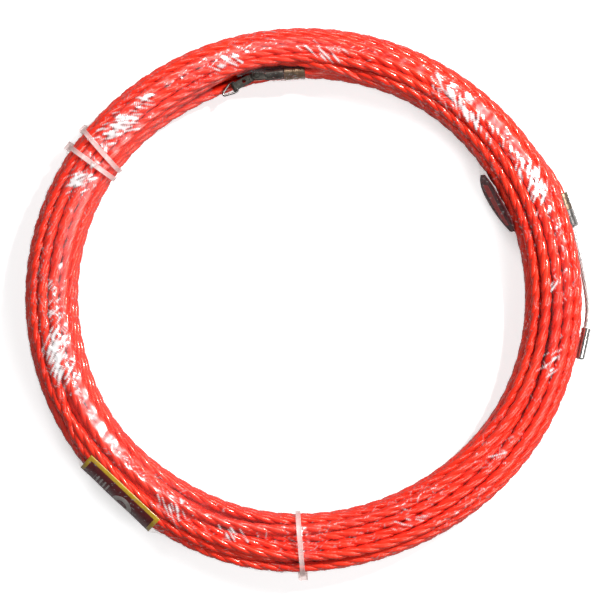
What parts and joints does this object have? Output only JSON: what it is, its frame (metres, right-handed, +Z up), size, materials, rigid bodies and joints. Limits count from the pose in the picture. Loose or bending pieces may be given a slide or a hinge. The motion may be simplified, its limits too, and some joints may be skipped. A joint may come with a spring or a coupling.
{
  "type": "fish tape coil",
  "caption": "Film-wrapped coil of twisted orange fish tape, held by cable ties, with a wire-rope leader at one end and a hinged pulling eye at the other.",
  "frame": {"origin": "middle of the coil's outline, on the surface that the coil lies on", "axes": "+Z up, along the coil's axis; +X from the coil's middle towards the leader's side; +Y towards the pulling eye's side"},
  "size_m": [0.325, 0.3139, 0.0317],
  "materials": {
    "tape": "glossy twisted polyester",
    "brass": "dull, browned",
    "plated_steel": "bright plated",
    "grey_steel": "dull grey",
    "wire_rope": "bright drawn wire",
    "tie_nylon": "natural nylon, slightly see-through",
    "film": "clear wrinkled stretch film",
    "card": "printed, coated",
    "leaflet_paper": "printed, coated"
  },
  "bodies": {
    "coil": {"rod_coil": "tape", "rod_lead_run": "tape", "rod_tail_run": "tape", "lead_sleeve": "brass", "lead_adapter": "plated_steel", "leader_rope": "wire_rope", "tip_ferrule": "plated_steel", "tail_sleeve": "brass", "tail_adapter": "grey_steel", "link_pin": "grey_steel", "tie_bottom": "tie_nylon", "tie_upper_a": "tie_nylon", "tie_upper_b": "tie_nylon", "film_wrap": "film", "label_card": "card", "leaflet": "leaflet_paper"},
    "link": {"tail_link": "grey_steel"},
    "ring": {"tail_ring": "plated_steel"}
  },
  "joints": [
    {"name": "link_swing", "type": "hinge", "parent": "coil", "child": "link", "pos_m": [-0.02673, 0.12728, 0.018], "axis": [0, 0, 1], "range_deg": [0, 70]},
    {"name": "ring_swing", "type": "hinge", "parent": "link", "child": "ring", "pos_m": [-0.03874, 0.1209, 0.018], "axis": [-0.4695, 0.8829, 0], "range_deg": [-15, 90]}
  ]
}
